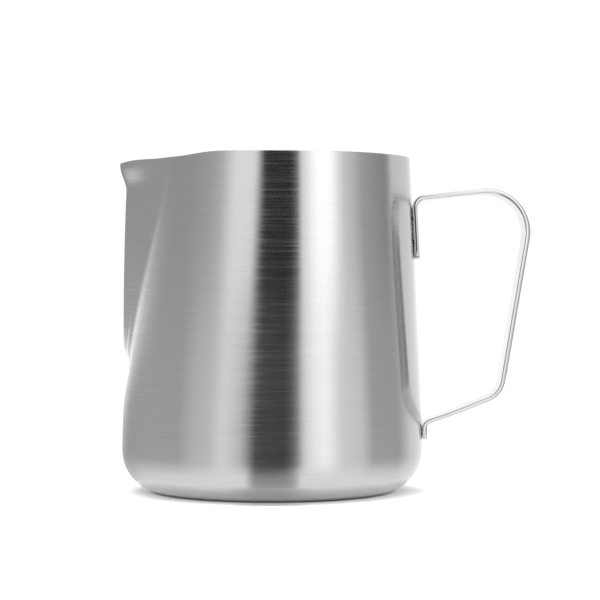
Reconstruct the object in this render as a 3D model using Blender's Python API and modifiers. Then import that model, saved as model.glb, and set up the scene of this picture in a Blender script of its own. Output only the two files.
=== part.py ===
"""Milk frothing pitcher in stainless steel: a drawn shell with a pressed spout, a bent strip handle, and the
four spot welds that hold the handle to the shell.

Frame: metres, +Z up. The origin is the centre of the flat base, on the shell's axis. The spout points along -X
and the handle along +X, so the XZ plane is the plane of symmetry.
"""

import math

import bmesh
import bpy
import numpy as np

# Shell, outer surface
HEIGHT = 0.1053  # base to rim
BELLY_RADIUS = 0.0476  # widest, just above the base
CORNER_RADIUS = 0.013  # between base and wall
TAPER = math.radians(2.65)  # how far the wall leans in
BELLY_SWEEP = 0.35  # radius of the arc that turns the upright belly into the tapered wall
WALL = 0.0008
ROW_CROWDING = 1.15  # above 1, the wall's rows stand closer together near the rim
MERGE_DISTANCE = 0.00005  # joins the section's end on the axis

# Spout: the shell's front is flattened along a leaning plane, then a ridge is pushed out of the flat
FACET_AT_RIM = 0.0277  # distance from the axis to the leaning plane, at rim height
FACET_LEAN = 0.257  # how far the plane comes in per unit of height
RIDGE_FOOT = 0.0368  # height at which the ridge starts to leave the flat
RIDGE_RISE = 0.0078  # height over which it comes fully out
RIDGE_REACH = 0.04724  # distance from the axis to the ridge where it stands furthest out, below the lip
RIDGE_BOW_HEIGHT = 0.052  # height of that place
RIDGE_BOW = 1.09  # radius of the ridge's slight bow
RIDGE_ROUND = 0.045  # roundness of the ridge, as a share of its distance from the axis
LIP_FOOT = 0.0096  # the lip flares out from this depth below the rim
LIP_END = 0.0005
LIP_FLARE = 0.0024
PANEL_HOLLOW = 0.0004  # how far the panels beside the ridge are dished at the rim
CREASE_BLEND = 0.0009  # softness of the crease where a panel meets the round wall
SPOUT_REACH = math.radians(80)  # the wall is round beyond this angle from the spout
RIDGE_LIFT = 0.008  # near the ridge the panels may stand this far outside the round wall
RIDGE_LIFT_SHARE = 0.6  # that holds over this share of the angle between ridge and crease
RIM_DIP = 0.00128  # the rim sits lower at the creases
RIM_DIP_ANGLES = (math.radians(47), math.radians(70))
RIM_PANEL_RISE = 0.0003  # and rises a little from there towards the ridge
RIM_PANEL_ANGLES = (math.radians(12), math.radians(36))
RIM_TIP_DIP = 0.0005  # but not at the lip's very tip
RIM_TIP_ANGLE = math.radians(8)
RIM_DIP_FROM = 0.02  # depth below the rim over which all of this fades out

# Handle, a strip with a slightly dished outer face, bent in the XZ plane
STRIP_WIDTH = 0.0146
STRIP_THICKNESS = 0.0015
STRIP_DISH = 0.0003  # how far the strip's edges stand out from its middle, on the arms and the grip
DISH_RUN = 0.012  # distance from the wall over which the dish comes in
STRIP_CORNER = 0.0030  # rounding of the corners at both ends
END_SHARES = (0.0, 0.06, 0.2, 0.45, 0.95)  # where the rows through those corners lie
BEND_STEP = math.radians(12)  # turn between two rows in a bend
TAB_GAP = 0.0002
TAB_WRAP_END = 0.008  # distance from the wall at which the strip no longer follows the wall's curve
UPPER_TAB_END = 0.0733
LOWER_TAB_END = 0.0163
UPPER_BEND_HEIGHT = 0.0931  # where the outer faces of the upper tab and the upper arm would meet
GRIP_TOP = (0.0838, 0.0971)  # where the outer faces of the upper arm and the grip would meet
GRIP_FOOT = (0.0724, 0.0304)  # where the outer faces of the grip and the lower arm would meet
LOWER_BEND_HEIGHT = 0.0211  # where the outer faces of the lower arm and the lower tab would meet
UPPER_BEND_RADIUS = 0.0042
GRIP_TOP_RADIUS = 0.0136
GRIP_FOOT_RADIUS = 0.0080
LOWER_BEND_RADIUS = 0.0016

# Spot welds between the tabs and the shell: (height, offset along Y)
WELDS = {
    "upper_weld_top": (0.0864, 0.0),
    "upper_weld_bottom": (0.0785, 0.0),
    "lower_weld_left": (0.0179, 0.0034),
    "lower_weld_right": (0.0179, -0.0034),
}
WELD_RADIUS = 0.0012
WELD_IN_WALL = 0.0004
WELD_IN_TAB = 0.0006
SHARP_ANGLE = math.radians(40)
WELD_GAP = 0.0001
WELD_SIDES = 20

# Mesh fineness
AROUND = 72
WALL_ROWS = 18
CORNER_ROWS = 7
BELLY_ROWS = 3
STRIP_COLUMNS = 8

STEEL = (0.62, 0.62, 0.62, 1.0)


# ---------------------------------------------------------------- scene and helpers


def clear_scene():
    for obj in list(bpy.data.objects):
        bpy.data.objects.remove(obj)


def new_collection(name):
    made = bpy.data.collections.new(name)
    bpy.context.scene.collection.children.link(made)
    return made


def steel(name, roughness):
    made = bpy.data.materials.new(name)
    made.use_nodes = True
    shader = made.node_tree.nodes["Principled BSDF"]
    shader.inputs["Base Color"].default_value = STEEL
    shader.inputs["Metallic"].default_value = 1.0
    shader.inputs["Roughness"].default_value = roughness
    return made


def add_object(name, mesh, collection, material=None):
    obj = bpy.data.objects.new(name, mesh)
    collection.objects.link(obj)
    if material:
        mesh.materials.append(material)
    return obj


def smooth_step(value, low, high):
    t = min(max((value - low) / (high - low), 0.0), 1.0)
    return t * t * (3 - 2 * t)


# ---------------------------------------------------------------- shell


def wall_radius(z):
    """Outer radius of the round wall above the base corner: upright belly, then the taper."""
    rise = z - CORNER_RADIUS
    sweep_rise = BELLY_SWEEP * math.sin(TAPER)
    if rise <= sweep_rise:
        return BELLY_RADIUS - BELLY_SWEEP + math.sqrt(BELLY_SWEEP**2 - max(rise, 0.0) ** 2)
    sweep_in = BELLY_SWEEP * (1 - math.cos(TAPER))
    return BELLY_RADIUS - sweep_in - (rise - sweep_rise) * math.tan(TAPER)


def ridge_distance(z, facet):
    """Distance from the axis to the spout's ridge. Below its foot it lies in the flat."""
    ridge = RIDGE_REACH - (z - RIDGE_BOW_HEIGHT) ** 2 / (2 * RIDGE_BOW)
    ridge += LIP_FLARE * smooth_step(z, HEIGHT - LIP_FOOT, HEIGHT - LIP_END)
    out = smooth_step(z, RIDGE_FOOT, RIDGE_FOOT + RIDGE_RISE)
    return facet + (ridge - facet) * out


def panel_radius(angle, z, round_radius, facet):
    """Distance from the axis to the panel between crease and ridge, at this angle from the spout."""
    half_width = math.sqrt(max(round_radius**2 - facet**2, 0.0))
    ridge = ridge_distance(z, facet)
    length = math.hypot(half_width, ridge - facet)
    if length < 1e-6:
        return facet / math.cos(angle)
    normal_x = half_width / length
    normal_y = (ridge - facet) / length
    across = math.hypot(math.sin(angle), RIDGE_ROUND) - RIDGE_ROUND
    straight = ridge * normal_x / (normal_x * math.cos(angle) + normal_y * across)
    crease_angle = math.acos(min(facet / round_radius, 1.0))
    along = min(angle / crease_angle, 1.0)
    shown = smooth_step(z, RIDGE_FOOT, HEIGHT)
    return straight - PANEL_HOLLOW * shown * math.sin(math.pi * along) ** 2


def smooth_min(a, b, blend):
    mix = min(max(0.5 + 0.5 * (b - a) / blend, 0.0), 1.0)
    return b + (a - b) * mix - blend * mix * (1 - mix)


def shell_radius(angle, z):
    """Outer radius at this angle from the spout (0 at the spout, pi at the handle)."""
    round_radius = wall_radius(z)
    facet = FACET_AT_RIM + FACET_LEAN * (HEIGHT - z)
    if angle > SPOUT_REACH or facet > round_radius + CREASE_BLEND:
        return round_radius
    panel = panel_radius(angle, z, round_radius, facet)
    lift_angle = RIDGE_LIFT_SHARE * math.acos(min(facet / round_radius, 1.0))
    lift = RIDGE_LIFT * smooth_step(1 - angle / lift_angle, 0.0, 1.0) if lift_angle > 0 else 0.0
    return smooth_min(panel, round_radius + lift, CREASE_BLEND)


def rim_dip(angle, z):
    """How much lower the rim sits at this angle from the spout. It fades out down the wall."""
    fade = smooth_step(z, HEIGHT - RIM_DIP_FROM, HEIGHT)
    crease = RIM_DIP * (1 - smooth_step(angle, *RIM_DIP_ANGLES))
    panel = RIM_PANEL_RISE * (1 - smooth_step(angle, *RIM_PANEL_ANGLES))
    tip = RIM_TIP_DIP * math.exp(-((angle / RIM_TIP_ANGLE) ** 2))
    return fade * (crease - panel + tip)


def shell_profile():
    """Outer half section as (radius, height), from the rim down to the middle of the base."""
    wall_foot = CORNER_RADIUS + BELLY_SWEEP * math.sin(TAPER)
    points = []
    for row in range(WALL_ROWS + 1):
        share = row / WALL_ROWS
        z = HEIGHT - (HEIGHT - wall_foot) * share**ROW_CROWDING
        points.append((wall_radius(z), z))
    for row in range(1, BELLY_ROWS + 1):
        z = wall_foot + (CORNER_RADIUS - wall_foot) * row / BELLY_ROWS
        points.append((wall_radius(z), z))
    centre = BELLY_RADIUS - CORNER_RADIUS
    for row in range(1, CORNER_ROWS + 1):
        turn = math.pi / 2 * row / CORNER_ROWS
        points.append((centre + CORNER_RADIUS * math.cos(turn), CORNER_RADIUS * (1 - math.sin(turn))))
    points.append((0.0, 0.0))
    return points


def turned_mesh(profile):
    """The profile turned about Z by a Screw modifier, as a plain mesh."""
    mesh = bpy.data.meshes.new("profile")
    edges = [(i, i + 1) for i in range(len(profile) - 1)]
    mesh.from_pydata([(radius, 0.0, z) for radius, z in profile], edges, [])
    obj = add_object("profile", mesh, bpy.context.scene.collection)
    screw = obj.modifiers.new("turn", "SCREW")
    screw.axis = "Z"
    screw.steps = screw.render_steps = AROUND
    screw.use_merge_vertices = True
    screw.merge_threshold = MERGE_DISTANCE
    graph = bpy.context.evaluated_depsgraph_get()
    turned = bpy.data.meshes.new_from_object(obj.evaluated_get(graph))
    bpy.data.objects.remove(obj)
    return turned


def press_spout(mesh):
    """Moves the turned wall's points in or out along their radius, and dips the rim."""
    for vertex in mesh.vertices:
        x, y, z = vertex.co
        if z < CORNER_RADIUS:
            continue
        angle = abs(math.atan2(y, -x))
        radius = shell_radius(angle, z)
        side = math.copysign(1.0, y)
        vertex.co.x = -radius * math.cos(angle)
        vertex.co.y = side * radius * math.sin(angle)
        vertex.co.z = z - rim_dip(angle, z)


def make_shell(collection, cutters, material):
    mesh = turned_mesh(shell_profile())
    mesh.name = "body_shell"
    press_spout(mesh)
    mesh.shade_smooth()
    shell = add_object("body_shell", mesh, collection, material)
    skin = shell.modifiers.new("wall", "SOLIDIFY")
    skin.thickness = WALL
    skin.offset = -1.0
    skin.use_even_offset = True
    cut_pockets(shell, cutters)
    return shell


# ---------------------------------------------------------------- handle


def rounded_path(corners, radii, step):
    """Points along a polyline whose inner corners are replaced by arcs. corners are 2D, one radius per corner."""
    path = [np.array(corners[0])]
    for before, at, after, radius in zip(corners, corners[1:], corners[2:], radii):
        before, at, after = np.array(before), np.array(at), np.array(after)
        into = (at - before) / np.linalg.norm(at - before)
        out = (after - at) / np.linalg.norm(after - at)
        turn = math.acos(float(np.clip(into @ out, -1, 1)))
        start = at - into * radius * math.tan(turn / 2)
        side = math.copysign(1.0, into[0] * out[1] - into[1] * out[0])
        centre = start + side * radius * np.array([-into[1], into[0]])
        count = max(3, round(turn / step))
        for k in range(count + 1):
            swing = side * turn * k / count
            arm = start - centre
            cos, sin = math.cos(swing), math.sin(swing)
            path.append(centre + np.array([arm[0] * cos - arm[1] * sin, arm[0] * sin + arm[1] * cos]))
    path.append(np.array(corners[-1]))
    return path


def handle_path():
    """The middle of the strip's outer face in the XZ plane, from the upper tab's lower end to the lower tab's.

    That face lies against the shell at the upper tab, and looks away from it at the lower one."""
    lower_face = TAB_GAP + STRIP_THICKNESS
    corners = [
        (wall_radius(UPPER_TAB_END) + TAB_GAP, UPPER_TAB_END),
        (wall_radius(UPPER_BEND_HEIGHT) + TAB_GAP, UPPER_BEND_HEIGHT),
        GRIP_TOP,
        GRIP_FOOT,
        (wall_radius(LOWER_BEND_HEIGHT) + lower_face, LOWER_BEND_HEIGHT),
        (wall_radius(LOWER_TAB_END) + lower_face, LOWER_TAB_END),
    ]
    radii = [UPPER_BEND_RADIUS, GRIP_TOP_RADIUS, GRIP_FOOT_RADIUS, LOWER_BEND_RADIUS]
    return rounded_path(corners, radii, BEND_STEP)


def with_end_rows(path):
    """The path with extra points near both ends, where the strip's corners are rounded."""

    def end_rows(end, inner):
        direction = (inner - end) / np.linalg.norm(inner - end)
        return [end + direction * STRIP_CORNER * share for share in END_SHARES]

    return end_rows(path[0], path[1]) + path[1:-1] + end_rows(path[-1], path[-2])[::-1]


def half_width(distance):
    """Half the strip's width at this distance from its nearer end."""
    short = max(STRIP_CORNER - distance, 0.0)
    return STRIP_WIDTH / 2 - STRIP_CORNER + math.sqrt(STRIP_CORNER**2 - short**2)


def path_normal(path, row):
    """The outward normal of the path at one of its points, in the XZ plane."""
    along = path[min(row + 1, len(path) - 1)] - path[max(row - 1, 0)]
    return np.array([-along[1], along[0]]) / np.linalg.norm(along)


def follow_wall(x, y, z):
    """How far a point at y moves in so that the tabs follow the round wall. It fades out along the arms."""
    near = 1 - smooth_step(x - wall_radius(z), 2 * STRIP_THICKNESS, TAB_WRAP_END)
    return near * (math.sqrt(x * x - y * y) - x)


def strip_point(path, row, across, from_end):
    """A point of the strip's outer face. across runs from -1 to 1 over the width."""
    x, z = path[row]
    y = across * half_width(from_end)
    clear = x - wall_radius(z) - 2 * STRIP_THICKNESS
    dish = STRIP_DISH * smooth_step(clear, 0.0, DISH_RUN) * across**2
    normal_x, normal_z = path_normal(path, row)
    return (x + dish * normal_x + follow_wall(x, y, z), y, z + dish * normal_z)


def make_handle(collection, cutters, material):
    path = with_end_rows(handle_path())
    run = [0.0]
    for here, there in zip(path, path[1:]):
        run.append(run[-1] + float(np.linalg.norm(there - here)))
    rows = len(path) - 1
    grid = bmesh.new()
    bmesh.ops.create_grid(grid, x_segments=rows, y_segments=STRIP_COLUMNS, size=1.0)
    for vertex in grid.verts:
        row = round((vertex.co.x + 1) / 2 * rows)
        vertex.co = strip_point(path, row, vertex.co.y, min(run[row], run[-1] - run[row]))
    mesh = bpy.data.meshes.new("handle_strip")
    grid.to_mesh(mesh)
    grid.free()
    handle = add_object("handle_strip", mesh, collection, material)
    skin = handle.modifiers.new("thickness", "SOLIDIFY")
    skin.thickness = STRIP_THICKNESS
    skin.offset = -1.0
    skin.use_even_offset = True
    cut_pockets(handle, cutters)
    return handle


# ---------------------------------------------------------------- spot welds


def weld_cylinder(name, z, y, grow, collection, material=None):
    """A weld nugget, or with grow above 0 the pocket that holds it. Its axis runs along X."""
    wall = math.sqrt(wall_radius(z) ** 2 - y * y)
    low = wall - WELD_IN_WALL - grow
    high = wall + TAB_GAP + WELD_IN_TAB + grow
    shape = bmesh.new()
    bmesh.ops.create_cone(
        shape,
        cap_ends=True,
        segments=WELD_SIDES,
        radius1=WELD_RADIUS + grow,
        radius2=WELD_RADIUS + grow,
        depth=high - low,
    )
    mesh = bpy.data.meshes.new(name)
    shape.to_mesh(mesh)
    shape.free()
    mesh.shade_smooth()
    mesh.set_sharp_from_angle(angle=SHARP_ANGLE)
    obj = add_object(name, mesh, collection, material)
    obj.rotation_euler = (0.0, math.pi / 2, 0.0)
    obj.location = ((low + high) / 2, y, z)
    return obj


def make_welds(collection, material):
    return [weld_cylinder(name, z, y, 0.0, collection, material) for name, (z, y) in WELDS.items()]


def make_pocket_cutters(collection):
    made = []
    for name, (z, y) in WELDS.items():
        cutter = weld_cylinder(name + "_pocket", z, y, WELD_GAP, collection)
        cutter.hide_render = True
        cutter.display_type = "WIRE"
        made.append(cutter)
    return made


def cut_pockets(obj, cutters):
    for cutter in cutters:
        pocket = obj.modifiers.new(cutter.name, "BOOLEAN")
        pocket.operation = "DIFFERENCE"
        pocket.solver = "EXACT"
        pocket.object = cutter


def main():
    clear_scene()
    pitcher = new_collection("milk_frothing_pitcher")
    helpers = new_collection("cutters")
    brushed = steel("brushed_steel", 0.3)
    satin = steel("satin_steel", 0.22)
    cutters = make_pocket_cutters(helpers)
    make_shell(pitcher, cutters, brushed)
    make_handle(pitcher, cutters, satin)
    make_welds(pitcher, satin)


main()
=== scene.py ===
"""Looks of the milk frothing pitcher: fine meshes for the shell and handle, brushed steel, a white studio.

The meshes have the outer shape of the CAD nodes that they replace, with more rows and columns and rounded
edges. They leave out the pockets round the weld nuggets, so the nuggets' hidden ends lie inside the steel.
Metres, +Z up. The spout points along -X and the handle along +X, and the camera looks along +Y.
"""

import math

import bmesh
import bpy
import numpy as np
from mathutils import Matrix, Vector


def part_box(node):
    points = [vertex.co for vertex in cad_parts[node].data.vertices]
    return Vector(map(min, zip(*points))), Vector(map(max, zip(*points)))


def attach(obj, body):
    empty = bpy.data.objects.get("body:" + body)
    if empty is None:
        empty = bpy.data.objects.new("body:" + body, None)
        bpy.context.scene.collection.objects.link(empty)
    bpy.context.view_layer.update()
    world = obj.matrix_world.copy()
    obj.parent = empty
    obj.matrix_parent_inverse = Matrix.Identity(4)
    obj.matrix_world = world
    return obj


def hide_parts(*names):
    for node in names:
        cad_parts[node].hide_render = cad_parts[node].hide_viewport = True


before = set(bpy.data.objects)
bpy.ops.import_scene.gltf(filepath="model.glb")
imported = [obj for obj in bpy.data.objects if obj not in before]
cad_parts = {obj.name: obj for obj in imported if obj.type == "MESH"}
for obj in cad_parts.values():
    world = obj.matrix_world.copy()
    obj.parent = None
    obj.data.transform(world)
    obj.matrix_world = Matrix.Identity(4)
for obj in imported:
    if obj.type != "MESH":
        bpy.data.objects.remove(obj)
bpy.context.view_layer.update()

# ---------------------------------------------------------------- sizes

SHELL_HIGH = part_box("body_shell")[1]
HANDLE_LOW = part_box("handle_strip")[0]

# Shell, outer surface
HEIGHT = SHELL_HIGH[2]
BELLY_RADIUS = SHELL_HIGH[1]
CORNER_RADIUS = 0.013  # between base and wall
TAPER = math.radians(2.65)  # how far the wall leans in
BELLY_SWEEP = 0.35  # radius of the arc that turns the upright belly into the tapered wall
WALL = 0.0008
RIM_EDGE = 0.0003  # width of the rounding along the rim
RIM_EDGE_STEPS = 3

# Spout: the shell's front is flattened along a leaning plane, then a ridge is pushed out of the flat
FACET_AT_RIM = 0.0277  # distance from the axis to the leaning plane, at rim height
FACET_LEAN = 0.257  # how far the plane comes in per unit of height
RIDGE_FOOT = 0.0368  # height at which the ridge starts to leave the flat
RIDGE_RISE = 0.0078  # height over which it comes fully out
RIDGE_REACH = 0.04724  # distance from the axis to the ridge where it stands furthest out, below the lip
RIDGE_BOW_HEIGHT = 0.052  # height of that place
RIDGE_BOW = 1.09  # radius of the ridge's slight bow
RIDGE_ROUND = 0.045  # the ridge is rounded over about this angle, in radians
LIP_FOOT = 0.0096  # the lip flares out from this depth below the rim
LIP_END = 0.0005
LIP_FLARE = 0.0024
PANEL_HOLLOW = 0.0004  # how far the panels beside the ridge are dished at the rim
CREASE_BLEND = 0.0009  # softness of the crease where a panel meets the round wall
SPOUT_REACH = math.radians(80)  # the wall is round beyond this angle from the spout
RIDGE_LIFT = 0.008  # near the ridge the panels may stand this far outside the round wall
RIDGE_LIFT_SHARE = 0.6  # that holds over this share of the angle between ridge and crease
RIM_DIP = 0.00128  # the rim sits lower at the creases
RIM_DIP_ANGLES = (math.radians(47), math.radians(70))
RIM_PANEL_RISE = 0.0003  # and rises a little from there towards the ridge
RIM_PANEL_ANGLES = (math.radians(12), math.radians(36))
RIM_TIP_DIP = 0.0005  # but not at the lip's very tip
RIM_TIP_ANGLE = math.radians(8)
RIM_DIP_FROM = 0.02  # depth below the rim over which all of this fades out
INSIDE_CAD = 0.00004  # keeps the fine mesh inside the CAD's coarser one
NO_LENGTH = 1e-6  # a panel narrower than this counts as none

# Handle, a strip with a slightly dished outer face, bent in the XZ plane
STRIP_WIDTH = 0.0146
STRIP_THICKNESS = 0.0015
STRIP_DISH = 0.0003  # how far the strip's edges stand out from its middle, on the arms and the grip
DISH_RUN = 0.012  # distance from the wall over which the dish comes in
STRIP_CORNER = 0.0030  # rounding of the corners at both ends
STRIP_EDGE = 0.0008  # width of the rounding along both edges
STRIP_END_EDGE = 0.0003  # width of the chamfer at both ends
EDGE_SQUARENESS = 0.75  # 1 makes the rounding elliptical, less makes it squarer
EDGE_TIP = 0.8  # where the long edges stand out furthest, as a share of the thickness from the outer face
EDGE_TIP_ON_TOP = 0.6  # and how much nearer to the outer face that is on the upper arm
TAB_GAP = 0.0002
TAB_WRAP_END = 0.008  # distance from the wall at which the strip no longer follows the wall's curve
UPPER_TAB_END = HANDLE_LOW[2] + 0.057
LOWER_TAB_END = HANDLE_LOW[2]
UPPER_BEND_HEIGHT = 0.0931  # where the outer faces of the upper tab and the upper arm would meet
GRIP_TOP = (0.0838, 0.0971)  # where the outer faces of the upper arm and the grip would meet
GRIP_FOOT = (0.0724, 0.0304)  # where the outer faces of the grip and the lower arm would meet
LOWER_BEND_HEIGHT = 0.0211  # where the outer faces of the lower arm and the lower tab would meet
UPPER_BEND_RADIUS = 0.0042
GRIP_TOP_RADIUS = 0.0136
GRIP_FOOT_RADIUS = 0.0080
LOWER_BEND_RADIUS = 0.0016

WELD_NODES = ("upper_weld_top", "upper_weld_bottom", "lower_weld_left", "lower_weld_right")

# Mesh fineness
WALL_ROWS = 110
ROW_CROWDING = 1.1  # above 1, the wall's rows stand closer together near the rim
CORNER_ROWS = 20
BASE_ROWS = 14
BASE_MIDDLE = 0.0004  # radius of the face that closes the middle of the base
SPOUT_COLUMNS = np.arange(0.0, 66.0, 0.75)  # degrees from the spout
WALL_COLUMNS = np.arange(66.0, 180.0, 2.0)
BEND_STEP = math.radians(4)  # turn between two rows in a bend, about
LEAST_BEND_ROWS = 6
STRAIGHT_STEP = 0.0006  # distance between two rows on a straight, about
END_SHARES = (0.0, 0.03, 0.1, 0.17, 0.25, 0.35, 0.46, 0.58, 0.71, 0.85, 1.0)  # rows through the end corners
END_CLEAR = 1.02 * STRIP_CORNER  # the other rows keep this far from the ends
EDGE_STEPS = 14
FACE_STEPS = 15
RIM_ANGLE = math.radians(50)  # edges sharper than this are rounded on the shell
SHARP_ANGLE = math.radians(35)  # and shaded as sharp on the handle


# ---------------------------------------------------------------- helpers


def smooth_step(value, low, high):
    t = min(max((value - low) / (high - low), 0.0), 1.0)
    return t * t * (3 - 2 * t)


def smooth_min(a, b, blend):
    mix = min(max(0.5 + 0.5 * (b - a) / blend, 0.0), 1.0)
    return b + (a - b) * mix - blend * mix * (1 - mix)


def tube_object(name, rings, material):
    """A tube of quads through rings[row][column], open at both ends."""
    columns = len(rings[0])
    faces = []
    for start in range(0, (len(rings) - 1) * columns, columns):
        for column in range(columns):
            here = start + column
            there = start + (column + 1) % columns
            faces.append((here, here + columns, there + columns, there))
    mesh = bpy.data.meshes.new(name)
    mesh.from_pydata([tuple(point) for ring in rings for point in ring], [], faces)
    mesh.materials.append(material)
    obj = bpy.data.objects.new(name, mesh)
    bpy.context.scene.collection.objects.link(obj)
    return obj


def close_ends(obj, rings):
    """Flat faces over these rings of vertex numbers, and normals that point outwards."""
    mesh = bmesh.new()
    mesh.from_mesh(obj.data)
    mesh.verts.ensure_lookup_table()
    for ring in rings:
        mesh.faces.new([mesh.verts[number] for number in ring])
    bmesh.ops.recalc_face_normals(mesh, faces=mesh.faces)
    mesh.to_mesh(obj.data)
    mesh.free()


def add_wall(obj):
    """The sheet's thickness behind its outer surface, and a rounded rim."""
    skin = obj.modifiers.new("thickness", "SOLIDIFY")
    skin.thickness = WALL
    skin.offset = -1.0
    skin.use_even_offset = True
    rounding = obj.modifiers.new("edges", "BEVEL")
    rounding.width = RIM_EDGE
    rounding.segments = RIM_EDGE_STEPS
    rounding.limit_method = "ANGLE"
    rounding.angle_limit = RIM_ANGLE
    obj.data.shade_smooth()


# ---------------------------------------------------------------- shell


def wall_radius(z):
    """Radius of the round wall at this height."""
    rise = z - CORNER_RADIUS
    sweep_rise = BELLY_SWEEP * math.sin(TAPER)
    if rise <= sweep_rise:
        return BELLY_RADIUS - BELLY_SWEEP + math.sqrt(BELLY_SWEEP**2 - max(rise, 0.0) ** 2)
    sweep_in = BELLY_SWEEP * (1 - math.cos(TAPER))
    return BELLY_RADIUS - sweep_in - (rise - sweep_rise) * math.tan(TAPER)


def ridge_distance(z, facet):
    """Distance from the axis to the spout's ridge. Below the ridge's foot that is the flat's own distance."""
    ridge = RIDGE_REACH - (z - RIDGE_BOW_HEIGHT) ** 2 / (2 * RIDGE_BOW)
    ridge += (LIP_FLARE - INSIDE_CAD) * smooth_step(z, HEIGHT - LIP_FOOT, HEIGHT - LIP_END)
    out = smooth_step(z, RIDGE_FOOT, RIDGE_FOOT + RIDGE_RISE)
    return facet + (ridge - facet) * out


def panel_radius(angle, z, round_radius, facet):
    """Radius of the spout's side panel, which is straight from ridge to crease but for a slight hollow."""
    half_width = math.sqrt(max(round_radius**2 - facet**2, 0.0))
    ridge = ridge_distance(z, facet)
    length = math.hypot(half_width, ridge - facet)
    if length < NO_LENGTH:
        return facet / math.cos(angle)
    normal_x = half_width / length
    normal_y = (ridge - facet) / length
    across = math.hypot(math.sin(angle), RIDGE_ROUND) - RIDGE_ROUND
    straight = ridge * normal_x / (normal_x * math.cos(angle) + normal_y * across)
    crease_angle = math.acos(min(facet / round_radius, 1.0))
    along = min(angle / crease_angle, 1.0)
    shown = smooth_step(z, RIDGE_FOOT, HEIGHT)
    return straight - PANEL_HOLLOW * shown * math.sin(math.pi * along) ** 2


def shell_radius(angle, z):
    """Radius of the shell at this height and this angle from the spout."""
    round_radius = wall_radius(z)
    facet = FACET_AT_RIM + FACET_LEAN * (HEIGHT - z)
    if angle > SPOUT_REACH or facet > round_radius + CREASE_BLEND:
        return round_radius
    panel = panel_radius(angle, z, round_radius, facet)
    lift_angle = RIDGE_LIFT_SHARE * math.acos(min(facet / round_radius, 1.0))
    lift = RIDGE_LIFT * smooth_step(1 - angle / lift_angle, 0.0, 1.0) if lift_angle > 0 else 0.0
    return smooth_min(panel, round_radius + lift, CREASE_BLEND)


def rim_dip(angle, z):
    """How much lower the rim sits at this angle from the spout. It fades out down the wall."""
    fade = smooth_step(z, HEIGHT - RIM_DIP_FROM, HEIGHT)
    crease = RIM_DIP * (1 - smooth_step(angle, *RIM_DIP_ANGLES))
    panel = RIM_PANEL_RISE * (1 - smooth_step(angle, *RIM_PANEL_ANGLES))
    tip = RIM_TIP_DIP * math.exp(-((angle / RIM_TIP_ANGLE) ** 2))
    return fade * (crease - panel + tip)


def shell_section():
    """(radius, height) of the rows from the rim to the middle of the base. On the wall the radius is None."""
    rows = []
    for row in range(WALL_ROWS + 1):
        share = row / WALL_ROWS
        rows.append((None, HEIGHT - (HEIGHT - CORNER_RADIUS) * share**ROW_CROWDING))
    centre = BELLY_RADIUS - CORNER_RADIUS
    for row in range(1, CORNER_ROWS + 1):
        turn = math.pi / 2 * row / CORNER_ROWS
        rows.append((centre + CORNER_RADIUS * math.cos(turn), CORNER_RADIUS * (1 - math.sin(turn))))
    for row in range(1, BASE_ROWS):
        rows.append((centre * (1 - row / BASE_ROWS), 0.0))
    rows.append((BASE_MIDDLE, 0.0))
    return rows


def shell_angles():
    """Angles from the spout, finer over the spout, all the way round."""
    half = list(np.radians(SPOUT_COLUMNS)) + list(np.radians(WALL_COLUMNS))
    return half + [math.pi] + [2 * math.pi - angle for angle in half[:0:-1]]


def shell_point(angle, radius, z):
    side = min(angle, 2 * math.pi - angle)
    if radius is None:
        radius = shell_radius(side, z)
        z -= rim_dip(side, z)
    return (-radius * math.cos(angle), -radius * math.sin(angle), z)


def distances_down(section):
    """How far each row is from the rim, down the wall and across the base."""
    run = [0.0]
    for (radius, z), (next_radius, next_z) in zip(section, section[1:]):
        across = 0.0 if radius is None or next_radius is None else next_radius - radius
        run.append(run[-1] + math.hypot(across, next_z - z))
    return run


def make_shell(material):
    section = shell_section()
    angles = shell_angles()
    around = len(angles)
    rings = [[shell_point(angle, radius, z) for angle in angles] for radius, z in section]
    shell = tube_object("pitcher_body", rings, material)
    close_ends(shell, [range((len(section) - 1) * around, len(section) * around)])
    lay = shell.data.attributes.new("lay", "FLOAT", "POINT")
    lay.data.foreach_set("value", np.repeat(distances_down(section), around).astype(np.float32))
    add_wall(shell)
    return shell


# ---------------------------------------------------------------- handle


def add_straight(path, end):
    """Points between the path's last one and end, without either."""
    start = path[-1]
    count = max(1, round(np.linalg.norm(end - start) / STRAIGHT_STEP))
    path.extend(start + (end - start) * k / count for k in range(1, count))


def rounded_path(corners, radii):
    """Points along a polyline whose inner corners are replaced by arcs."""
    path = [np.array(corners[0])]
    for before, at, after, radius in zip(corners, corners[1:], corners[2:], radii):
        before, at, after = np.array(before), np.array(at), np.array(after)
        into = (at - before) / np.linalg.norm(at - before)
        out = (after - at) / np.linalg.norm(after - at)
        turn = math.acos(float(np.clip(into @ out, -1, 1)))
        start = at - into * radius * math.tan(turn / 2)
        add_straight(path, start)
        side = math.copysign(1.0, into[0] * out[1] - into[1] * out[0])
        centre = start + side * radius * np.array([-into[1], into[0]])
        arm = start - centre
        count = max(LEAST_BEND_ROWS, round(turn / BEND_STEP))
        for k in range(count + 1):
            swing = side * turn * k / count
            cos, sin = math.cos(swing), math.sin(swing)
            path.append(centre + np.array([arm[0] * cos - arm[1] * sin, arm[0] * sin + arm[1] * cos]))
    add_straight(path, np.array(corners[-1]))
    path.append(np.array(corners[-1]))
    return path


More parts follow.
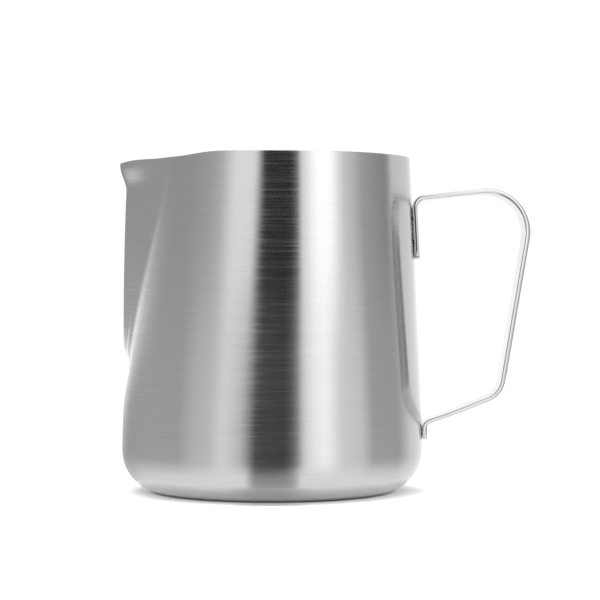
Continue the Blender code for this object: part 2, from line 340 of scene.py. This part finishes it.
def handle_path():
    """(x, z) points along the strip's outer face, from the end of the upper tab to that of the lower one."""
    lower_face = TAB_GAP + STRIP_THICKNESS
    corners = [
        (wall_radius(UPPER_TAB_END) + TAB_GAP, UPPER_TAB_END),
        (wall_radius(UPPER_BEND_HEIGHT) + TAB_GAP, UPPER_BEND_HEIGHT),
        GRIP_TOP,
        GRIP_FOOT,
        (wall_radius(LOWER_BEND_HEIGHT) + lower_face, LOWER_BEND_HEIGHT),
        (wall_radius(LOWER_TAB_END) + lower_face, LOWER_TAB_END),
    ]
    return rounded_path(corners, [UPPER_BEND_RADIUS, GRIP_TOP_RADIUS, GRIP_FOOT_RADIUS, LOWER_BEND_RADIUS])


def with_end_rows(path):
    """The path with close points at both ends, where the strip's corners are rounded."""

    def end_rows(end, inner):
        direction = (inner - end) / np.linalg.norm(inner - end)
        return [end + direction * STRIP_CORNER * share for share in END_SHARES]

    ends = (path[0], path[-1])
    kept = [point for point in path if min(np.linalg.norm(point - end) for end in ends) > END_CLEAR]
    return end_rows(path[0], path[1]) + kept + end_rows(path[-1], path[-2])[::-1]


def path_normal(path, row):
    along = path[min(row + 1, len(path) - 1)] - path[max(row - 1, 0)]
    return np.array([-along[1], along[0]]) / np.linalg.norm(along)


def half_width(from_end):
    """Half the strip's width, less near its ends, where the corners are rounded."""
    short = max(STRIP_CORNER - from_end, 0.0)
    return STRIP_WIDTH / 2 - STRIP_CORNER + math.sqrt(STRIP_CORNER**2 - short**2)


def follow_wall(x, y, z):
    """How far the strip curves back at this offset along Y to lie round the wall, if it is near the wall."""
    near = 1 - smooth_step(x - wall_radius(z), 2 * STRIP_THICKNESS, TAB_WRAP_END)
    return near * (math.sqrt(x * x - y * y) - x)


def strip_point(path, row, y, depth):
    """A point of the strip at this offset along Y and this depth below its outer face."""
    x, z = path[row]
    clear = x - wall_radius(z) - 2 * STRIP_THICKNESS
    dish = STRIP_DISH * smooth_step(clear, 0.0, DISH_RUN) * (2 * y / STRIP_WIDTH) ** 2
    normal_x, normal_z = path_normal(path, row)
    into = depth - dish
    return (x - into * normal_x + follow_wall(x, y, z), y, z - into * normal_z)


def strip_section(half, inset, tip):
    """(offset along Y, depth) of the points round the strip's section, whose two edges are rounded.

    tip tells where the edges stand out furthest, from 0 at the outer face to 1 at the inner one."""
    flat = half - inset - STRIP_EDGE
    top, bottom = inset, STRIP_THICKNESS - inset
    middle = top + (bottom - top) * tip
    outer = [(y, top) for y in np.linspace(-flat, flat, FACE_STEPS)]
    inner = [(y, bottom) for y in np.linspace(flat, -flat, FACE_STEPS)]
    right = []
    for step in range(1, EDGE_STEPS):
        turn = math.pi * step / EDGE_STEPS
        reach = middle - top if math.cos(turn) > 0 else bottom - middle
        rise = math.copysign(abs(math.cos(turn)) ** EDGE_SQUARENESS, math.cos(turn))
        right.append((flat + STRIP_EDGE * math.sin(turn) ** EDGE_SQUARENESS, middle - reach * rise))
    left = [(-y, depth) for y, depth in reversed(right)]
    return outer + right + inner + left


def make_handle(material):
    path = with_end_rows(handle_path())
    run = [0.0]
    for here, there in zip(path, path[1:]):
        run.append(run[-1] + float(np.linalg.norm(there - here)))
    rings = []
    for row in range(len(path)):
        from_end = min(run[row], run[-1] - run[row])
        inset = STRIP_END_EDGE * max(1 - from_end / STRIP_END_EDGE, 0.0)
        tip = EDGE_TIP - EDGE_TIP_ON_TOP * max(path_normal(path, row)[1], 0.0)
        section = strip_section(half_width(from_end), inset, tip)
        rings.append([strip_point(path, row, y, depth) for y, depth in section])
    handle = tube_object("pitcher_handle", rings, material)
    around = len(rings[0])
    close_ends(handle, [range(start, start + around) for start in (0, (len(rings) - 1) * around)])
    handle.data.shade_smooth()
    handle.data.set_sharp_from_angle(angle=SHARP_ANGLE)
    return handle


# ---------------------------------------------------------------- steel

# Brightness, roughness, anisotropy and how much the scratches add to the roughness
SHELL_LOOK = (0.62, 0.14, 0.95, 0.14)
HANDLE_LOOK = (0.64, 0.15, 0.5, 0.0)

# The brushing is noise in long thin grains: their length and width in metres, and the noise's detail
FINE_BRUSHING = (0.010, 0.00016, 2.0)
BROAD_BRUSHING = (0.030, 0.0009, 2.0)
SCRATCHES = (0.018, 0.00026, 3.0)
FINE_SHARE = 0.65
BROAD_SHARE = 0.35
GRAIN_VALUES = (0.3, 0.7)  # the noise's values at which the steel is darkest and brightest
GRAIN_SHADES = (0.96, 1.03)  # its brightness there, as shares of the steel's own
SCRATCH_VALUES = (0.40, 0.80)  # the noise's values over which a scratch sets in
CLOUD_SCALE = 35.0
CLOUD_DETAIL = 2.0
CLOUD_ROUGHNESS = 0.04  # how much the clouds change the roughness in all, half up and half down
GRAIN_ROUGHNESS = 0.06  # the same for the brushing
BUMP_STRENGTH = 0.06
BUMP_HEIGHT = 0.00005
QUARTER_TURN = 0.25  # turns the stretch of the highlights from along the brushing to across it


class Nodes:
    """Short calls to add and link the nodes of one tree."""

    def __init__(self, tree):
        self.tree = tree

    def feed(self, node, inputs):
        """Links the node's inputs to other nodes' outputs, or sets them."""
        for name, value in inputs.items():
            if isinstance(value, bpy.types.NodeSocket):
                self.tree.links.new(value, node.inputs[name])
            else:
                node.inputs[name].default_value = value

    def add(self, kind, inputs=None, **settings):
        node = self.tree.nodes.new(kind)
        for name, value in settings.items():
            setattr(node, name, value)
        self.feed(node, inputs or {})
        return node

    def math(self, operation, *values):
        return self.add("ShaderNodeMath", dict(enumerate(values)), operation=operation).outputs[0]

    def mix(self, share, a, b):
        return self.add("ShaderNodeMix", {"Factor": share, "A": a, "B": b}, data_type="FLOAT").outputs[0]

    def noise(self, place, scale, detail):
        inputs = {"Vector": place, "Scale": scale, "Detail": detail}
        return self.add("ShaderNodeTexNoise", inputs).outputs["Fac"]

    def ramp(self, factor, stops):
        """Grey values along a line through the stops, which are pairs of position and value, both up to 1."""
        node = self.add("ShaderNodeValToRGB", {"Fac": factor})
        elements = node.color_ramp.elements
        for index, (position, value) in enumerate(stops):
            stop = elements[index] if index < 2 else elements.new(position)
            stop.position = position
            stop.color = (value, value, value, 1.0)
        return node.outputs["Color"]

    def between(self, value, low, high, a, b):
        """The value a below low and b above high, with a smooth change from one to the other."""
        limits = {"Value": value, "From Min": low, "From Max": high, "To Min": a, "To Max": b}
        return self.add("ShaderNodeMapRange", limits, interpolation_type="SMOOTHSTEP").outputs[0]


def steel(name, look, round_body):
    """Brushed stainless steel. The brushing runs round the body, or else along the handle's strip."""
    base, roughness, anisotropy, scratches = look
    made = bpy.data.materials.new(name)
    made.use_nodes = True
    nodes = Nodes(made.node_tree)
    place = nodes.add("ShaderNodeTexCoord").outputs["Object"]
    parts = nodes.add("ShaderNodeSeparateXYZ", {"Vector": place}).outputs
    if round_body:
        across = nodes.add("ShaderNodeAttribute", attribute_name="lay").outputs["Fac"]
        along = (parts["X"], parts["Y"])
    else:
        across = parts["Y"]
        along = (parts["X"], parts["Z"])

    def grains(length, width, detail):
        stretched = {
            "X": nodes.math("DIVIDE", along[0], length),
            "Y": nodes.math("DIVIDE", along[1], length),
            "Z": nodes.math("DIVIDE", across, width),
        }
        return nodes.noise(nodes.add("ShaderNodeCombineXYZ", stretched).outputs[0], 1.0, detail)

    fine = nodes.math("MULTIPLY", grains(*FINE_BRUSHING), FINE_SHARE)
    broad = nodes.math("MULTIPLY", grains(*BROAD_BRUSHING), BROAD_SHARE)
    grain = nodes.math("ADD", fine, broad)
    clouds = nodes.noise(place, CLOUD_SCALE, CLOUD_DETAIL)
    worn = nodes.math("MULTIPLY_ADD", clouds, CLOUD_ROUGHNESS, roughness - CLOUD_ROUGHNESS / 2)
    rough = nodes.math("SUBTRACT", worn, GRAIN_ROUGHNESS / 2)
    rough = nodes.math("MULTIPLY_ADD", grain, GRAIN_ROUGHNESS, rough)
    if scratches:
        scratched = nodes.ramp(grains(*SCRATCHES), zip(SCRATCH_VALUES, (0.0, 1.0)))
        rough = nodes.math("MULTIPLY_ADD", scratched, scratches, rough)
    shades = [base * share for share in GRAIN_SHADES]
    bump = nodes.add("ShaderNodeBump", {"Height": grain, "Strength": BUMP_STRENGTH, "Distance": BUMP_HEIGHT})
    tangent = nodes.add("ShaderNodeTangent", direction_type="RADIAL", axis="Z" if round_body else "Y")
    inputs = {
        "Base Color": nodes.ramp(grain, zip(GRAIN_VALUES, shades)),
        "Roughness": rough,
        "Normal": bump.outputs["Normal"],
        "Tangent": tangent.outputs[0],
        "Metallic": 1.0,
        "Anisotropic": anisotropy,
        "Anisotropic Rotation": QUARTER_TURN,
    }
    nodes.feed(made.node_tree.nodes["Principled BSDF"], inputs)
    return made


# ---------------------------------------------------------------- studio

# What the steel mirrors: a round light tent with a dark opening on the camera's side. Each pair is a bearing
# in degrees, from the camera's side towards the handle, and the tent's brightness there. The second list is
# for the tent's lower part. A colour ramp holds at most 32 stops.
TENT_BRIGHTNESS = [
    (-180, 1.30),
    (-170, 0.50),
    (-150, 0.41),
    (-130, 0.40),
    (-93, 0.43),
    (-84, 0.42),
    (-60, 0.43),
    (-50, 0.46),
    (-41, 0.50),
    (-33, 0.63),
    (-24, 1.05),
    (-18, 1.10),
    (-10, 1.10),
    (-7, 0.50),
    (-4, 0.03),
    (14, 0.02),
    (18, 0.16),
    (21, 0.94),
    (25, 1.19),
    (29, 1.47),
    (34, 1.64),
    (40, 1.66),
    (44, 1.50),
    (48, 1.15),
    (53, 0.85),
    (58, 0.76),
    (68, 0.50),
    (92, 0.34),
    (97, 0.47),
    (102, 0.80),
    (135, 0.86),
    (180, 1.30),
]
TENT_BRIGHTNESS_LOW = [
    (-180, 1.30),
    (-170, 0.50),
    (-150, 0.41),
    (-130, 0.43),
    (-84, 0.50),
    (-54, 0.50),
    (-49, 0.58),
    (-42, 0.68),
    (-36, 0.71),
    (-31, 0.75),
    (-23, 0.97),
    (-20, 0.96),
    (-13, 0.79),
    (-10, 0.68),
    (-6, 0.40),
    (-1, 0.08),
    (8, 0.06),
    (13, 0.12),
    (17, 0.34),
    (20, 0.83),
    (24, 1.10),
    (28, 1.26),
    (34, 1.38),
    (37, 1.34),
    (46, 0.94),
    (61, 0.84),
    (71, 0.50),
    (97, 0.47),
    (114, 0.85),
    (180, 1.30),
]
TENT_BLEND = (0.045, 0.095)  # heights above the floor between which the second list gives way to the first
TENT_RADIUS = 0.16
TENT_CENTRE = (0.0, 0.0, 0.06)
RAMP_TOP = 2.0  # brightness that the ramps of the two lists hold as 1
# The tent's heights in radii are counted from its middle. On the spout's side the pattern turns away from the
# opening, further the lower it is.
TENT_LEAN = math.radians(17)  # per radius of height
TENT_LEAN_FROM = 0.37  # height in radii at which that starts
TENT_LEAN_MOST = math.radians(9.5)
TENT_LEAN_FAR = (math.radians(-150), math.radians(-90))  # bearings over which it grows
TENT_LEAN_NEAR = (math.radians(-10), math.radians(5))  # and over which it ends
# At the tent's foot the bearings are taken from this far behind the axis, to carry the opening under.
FOOT_SHIFT = 0.035
FOOT_HEIGHTS = (-0.95, -0.55)  # heights in radii over which that fades out
# A soft light low on the spout's side that shows along the creases. Its sharp edge follows a leaning line.
STREAK_EDGE = math.radians(-113)
STREAK_EDGE_HEIGHT = 0.087
STREAK_LEAN = math.radians(540)  # per metre of height
STREAK_SHARP = math.radians(3)
STREAK_WIDTH = (math.radians(33), math.radians(42))  # low down and higher up
STREAK_WIDTH_HEIGHTS = (0.036, 0.062)
STREAK_BRIGHTNESS = [
    (0.026, 0.0),
    (0.034, 0.6),
    (0.041, 0.9),
    (0.057, 0.85),
    (0.070, 0.6),
    (0.090, 0.27),
    (0.110, 0.0),
]
STREAK_TOP = 0.16  # height above the floor at the end of its colour ramp
# And one low behind the spout's side, which brightens the round wall's edge under the spout.
FAR_LIGHT = 1.9
FAR_LIGHT_STARTS = (math.radians(-180), math.radians(-172))
FAR_LIGHT_ENDS = (math.radians(-178), math.radians(-118))
FAR_LIGHT_HEIGHTS = (0.036, 0.052)
FAR_LIGHT_FOOT = (0.008, 0.032)  # it is weaker below these heights
FAR_LIGHT_LOW = 0.2
# Under all that the tent shows the ground, which is brighter where the tent above it is bright: a painted
# reflection of the floor and its shade, as the big floor is hidden from reflections.
GROUND_HEIGHTS = (-0.90, -0.42)  # heights in radii over which it gives way to the tent
OPENING_MIDDLE = math.radians(-2)  # bearing of the lowest point of the dark opening
OPENING_SPREAD = math.radians(10)
GROUND_BOWL = 0.045  # how much higher the ground reaches at OPENING_SPREAD beside that, with the square
GROUND_BOWL_MOST = 0.10
GROUND_DROP = 0.04  # how much less high it reaches past the spout
GROUND_DROP_BEARINGS = (math.radians(-135), math.radians(-105))
GROUND_GAIN = 2.2  # the tent's brightness times this, at most 1, tells how bright the ground is
GROUND_DARK = 0.35  # its brightness for 0
GROUND_RANGE = 0.70  # and how much more it has for 1
TENT_TOP = 1.2  # brightness overhead
TENT_TOP_HEIGHTS = (0.75, 0.95)  # heights in radii over which that sets in
WORLD = 1.05
WHITE = (1, 1, 1, 1)
LAMP_SIZE = 2.4
LAMP_POWER = 60.0
LAMP_HEIGHT = 1.8

PAPER = 0.95
FLOOR_RADIUS = 0.8
PATCH_RADIUS = 0.046
PATCH_HEIGHT = 0.00002
SHADED_PAPER = 0.60  # painted shade on the paper under the pitcher's front, where it faces the dark opening
SHADED_WIDTHS = (0.004, 0.016)  # distances from the middle over which that grows to plain white
SHADED_FRONT = (-0.045, -0.036)  # the same along Y
PAINTED_PAPER_GLOW = 0.16  # painted light: the paper round the pitcher's foot glows, which lifts the contact shadow and what the steel's foot mirrors of it
GLOW_STARTS = (0.0368, 0.0400)  # distances from the axis: the line where the pitcher stands stays dark
GLOW_ENDS = (0.040, 0.046)

SENSOR_WIDTH = 36.0  # in millimetres, as the lens
LENS = 121.8
LENS_SHIFT = -0.0283
NEAREST = 0.01  # nothing nearer to the camera is shown
CAMERA_PLACE = (0.0088, -0.645, 0.0658)


def tent_bearing(nodes, parts, height):
    """Bearing round the tent, from the camera's side towards the handle."""
    behind = nodes.between(height, *FOOT_HEIGHTS, FOOT_SHIFT, 0.0)
    return nodes.math("ARCTAN2", parts["X"], nodes.math("SUBTRACT", behind, parts["Y"]))


def tent_pattern(nodes, bearing, height, above_floor):
    """Brightness round the tent after the two lists."""
    lean = nodes.math("MULTIPLY", nodes.math("SUBTRACT", TENT_LEAN_FROM, height), TENT_LEAN)
    lean = nodes.math("MINIMUM", nodes.math("MAXIMUM", lean, 0.0), TENT_LEAN_MOST)
    near = nodes.between(bearing, *TENT_LEAN_NEAR, 1.0, 0.0)
    far = nodes.between(bearing, *TENT_LEAN_FAR, 0.0, 1.0)
    lean = nodes.math("MULTIPLY", lean, nodes.math("MULTIPLY", near, far))
    turn = nodes.math("MULTIPLY_ADD", nodes.math("ADD", bearing, lean), 1 / (2 * math.pi), 0.5)
    levels = []
    for stops in (TENT_BRIGHTNESS_LOW, TENT_BRIGHTNESS):
        scaled = [((degrees + 180) / 360, level / RAMP_TOP) for degrees, level in stops]
        levels.append(nodes.math("MULTIPLY", nodes.ramp(turn, scaled), RAMP_TOP))
    return nodes.mix(nodes.between(above_floor, *TENT_BLEND, 0.0, 1.0), *levels)


def crease_light(nodes, bearing, above_floor):
    edge_at_floor = STREAK_EDGE - STREAK_LEAN * STREAK_EDGE_HEIGHT
    edge = nodes.math("MULTIPLY_ADD", above_floor, STREAK_LEAN, edge_at_floor)
    past_edge = nodes.math("SUBTRACT", bearing, edge)
    rise = nodes.between(past_edge, 0.0, STREAK_SHARP, 0.0, 1.0)
    width = nodes.between(above_floor, *STREAK_WIDTH_HEIGHTS, *STREAK_WIDTH)
    fall = nodes.between(nodes.math("DIVIDE", past_edge, width), 0.0, 1.0, 1.0, 0.0)
    stops = [(height / STREAK_TOP, level) for height, level in STREAK_BRIGHTNESS]
    strength = nodes.ramp(nodes.math("DIVIDE", above_floor, STREAK_TOP), stops)
    return nodes.math("MULTIPLY", nodes.math("MULTIPLY", rise, fall), strength)


def far_light(nodes, bearing, above_floor):
    starts = nodes.between(bearing, *FAR_LIGHT_STARTS, 0.0, FAR_LIGHT)
    ends = nodes.between(bearing, *FAR_LIGHT_ENDS, 1.0, 0.0)
    below = nodes.between(above_floor, *FAR_LIGHT_HEIGHTS, 1.0, 0.0)
    above = nodes.between(above_floor, *FAR_LIGHT_FOOT, FAR_LIGHT_LOW, 1.0)
    return nodes.math("MULTIPLY", nodes.math("MULTIPLY", starts, ends), nodes.math("MULTIPLY", below, above))


def ground_share(nodes, bearing, height):
    """1 on the ground and 0 on the tent above it."""
    aside = nodes.math("DIVIDE", nodes.math("SUBTRACT", bearing, OPENING_MIDDLE), OPENING_SPREAD)
    bowl = nodes.math("MULTIPLY", nodes.math("MULTIPLY", aside, aside), GROUND_BOWL)
    bowl = nodes.math("MINIMUM", bowl, GROUND_BOWL_MOST)
    drop = nodes.between(bearing, *GROUND_DROP_BEARINGS, GROUND_DROP, 0.0)
    over_edge = nodes.math("ADD", nodes.math("SUBTRACT", height, bowl), drop)
    return nodes.between(over_edge, *GROUND_HEIGHTS, 1.0, 0.0)


def tent_material():
    made = bpy.data.materials.new("light_tent")
    made.use_nodes = True
    made.cycles.emission_sampling = "NONE"
    made.node_tree.nodes.clear()
    nodes = Nodes(made.node_tree)
    place = nodes.add("ShaderNodeTexCoord").outputs["Object"]
    parts = nodes.add("ShaderNodeSeparateXYZ", {"Vector": place}).outputs
    height = nodes.math("DIVIDE", parts["Z"], TENT_RADIUS)
    above_floor = nodes.math("ADD", parts["Z"], TENT_CENTRE[2])
    bearing = tent_bearing(nodes, parts, height)
    around = tent_pattern(nodes, bearing, height, above_floor)
    around = nodes.math("ADD", around, crease_light(nodes, bearing, above_floor))
    around = nodes.math("ADD", around, far_light(nodes, bearing, above_floor))
    lit = nodes.math("MINIMUM", nodes.math("MULTIPLY", around, GROUND_GAIN), 1.0)
    ground = nodes.math("MULTIPLY_ADD", lit, GROUND_RANGE, GROUND_DARK)
    light = nodes.mix(ground_share(nodes, bearing, height), around, ground)
    light = nodes.mix(nodes.between(height, *TENT_TOP_HEIGHTS, 0.0, 1.0), light, TENT_TOP)
    glow = nodes.add("ShaderNodeEmission", {"Color": WHITE, "Strength": light})
    nodes.add("ShaderNodeOutputMaterial", {"Surface": glow.outputs[0]})
    return made


def make_tent():
    """A sphere round the pitcher that only reflections see."""
    bpy.ops.mesh.primitive_uv_sphere_add(segments=96, ring_count=48, radius=TENT_RADIUS, location=TENT_CENTRE)
    tent = bpy.context.object
    tent.name = "light_tent"
    tent.data.materials.append(tent_material())
    tent.visible_camera = False
    tent.visible_diffuse = False
    tent.visible_shadow = False
    tent.visible_transmission = False


def make_world():
    world = bpy.data.worlds.new("studio")
    bpy.context.scene.world = world
    world.use_nodes = True
    Nodes(world.node_tree).feed(world.node_tree.nodes["Background"], {"Color": WHITE, "Strength": WORLD})


def white_paper():
    paper = bpy.data.materials.new("white_paper")
    paper.use_nodes = True
    look = {"Base Color": (PAPER, PAPER, PAPER, 1), "Roughness": 1.0, "Specular IOR Level": 0.0}
    Nodes(paper.node_tree).feed(paper.node_tree.nodes["Principled BSDF"], look)
    return paper


def shaded_paper(paper):
    """The paper under the pitcher: painted shade under its front, and a painted glow in a ring round its foot
    that lifts the contact shadow.
    """
    shaded = paper.copy()
    shaded.name = "shaded_paper"
    nodes = Nodes(shaded.node_tree)
    place = nodes.add("ShaderNodeTexCoord").outputs["Object"]
    parts = nodes.add("ShaderNodeSeparateXYZ", {"Vector": place}).outputs
    # painted shade: the paper is darker under the pitcher's front, where it faces the dark opening
    middle = nodes.between(nodes.math("ABSOLUTE", parts["X"]), *SHADED_WIDTHS, 1.0, 0.0)
    front = nodes.between(parts["Y"], *SHADED_FRONT, 1.0, 0.0)
    grey = nodes.math("MULTIPLY_ADD", nodes.math("MULTIPLY", middle, front), SHADED_PAPER - PAPER, PAPER)
    # painted light: a faint glow in a ring round the foot, which lifts the contact shadow
    away = nodes.add("ShaderNodeVectorMath", {0: place}, operation="LENGTH").outputs["Value"]
    starts = nodes.between(away, *GLOW_STARTS, 0.0, PAINTED_PAPER_GLOW)
    glow = nodes.math("MULTIPLY", starts, nodes.between(away, *GLOW_ENDS, 1.0, 0.0))
    look = {"Base Color": grey, "Emission Color": WHITE, "Emission Strength": glow}
    nodes.feed(shaded.node_tree.nodes["Principled BSDF"], look)
    return shaded


def paper_disc(name, material, radius, height, corners):
    bpy.ops.mesh.primitive_circle_add(
        vertices=corners,
        radius=radius,
        fill_type="NGON",
        location=(0, 0, height),
    )
    disc = bpy.context.object
    disc.name = name
    disc.data.materials.append(material)
    return disc


def make_floor():
    paper = white_paper()
    floor = paper_disc("floor", paper, FLOOR_RADIUS, 0, corners=96)
    floor.visible_glossy = False
    patch = paper_disc("floor_under_pitcher", shaded_paper(paper), PATCH_RADIUS, PATCH_HEIGHT, corners=64)


def make_top_light():
    lamp = bpy.data.lights.new("top_softbox", "AREA")
    lamp.shape = "RECTANGLE"
    lamp.size = LAMP_SIZE
    lamp.size_y = LAMP_SIZE
    lamp.energy = LAMP_POWER
    obj = bpy.data.objects.new("top_softbox", lamp)
    obj.location = (0, 0, LAMP_HEIGHT)
    bpy.context.scene.collection.objects.link(obj)


def make_camera():
    lens = bpy.data.cameras.new("camera")
    lens.sensor_width = SENSOR_WIDTH
    lens.lens = LENS
    lens.shift_y = LENS_SHIFT
    lens.clip_start = NEAREST
    camera = bpy.data.objects.new("camera", lens)
    camera.location = CAMERA_PLACE
    camera.rotation_euler = (math.pi / 2, 0.0, 0.0)
    bpy.context.scene.collection.objects.link(camera)
    bpy.context.scene.camera = camera


def main():
    brushed = steel("brushed_steel", SHELL_LOOK, round_body=True)
    satin = steel("satin_steel", HANDLE_LOOK, round_body=False)
    shell = make_shell(brushed)
    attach(shell, "root")
    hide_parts("body_shell")
    handle = make_handle(satin)
    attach(handle, "root")
    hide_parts("handle_strip")
    for name in WELD_NODES:
        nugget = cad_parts[name]
        for slot in nugget.material_slots:
            slot.material = satin
    make_world()
    make_tent()
    make_floor()
    make_top_light()
    make_camera()
    bpy.context.scene.view_settings.view_transform = "Standard"


main()
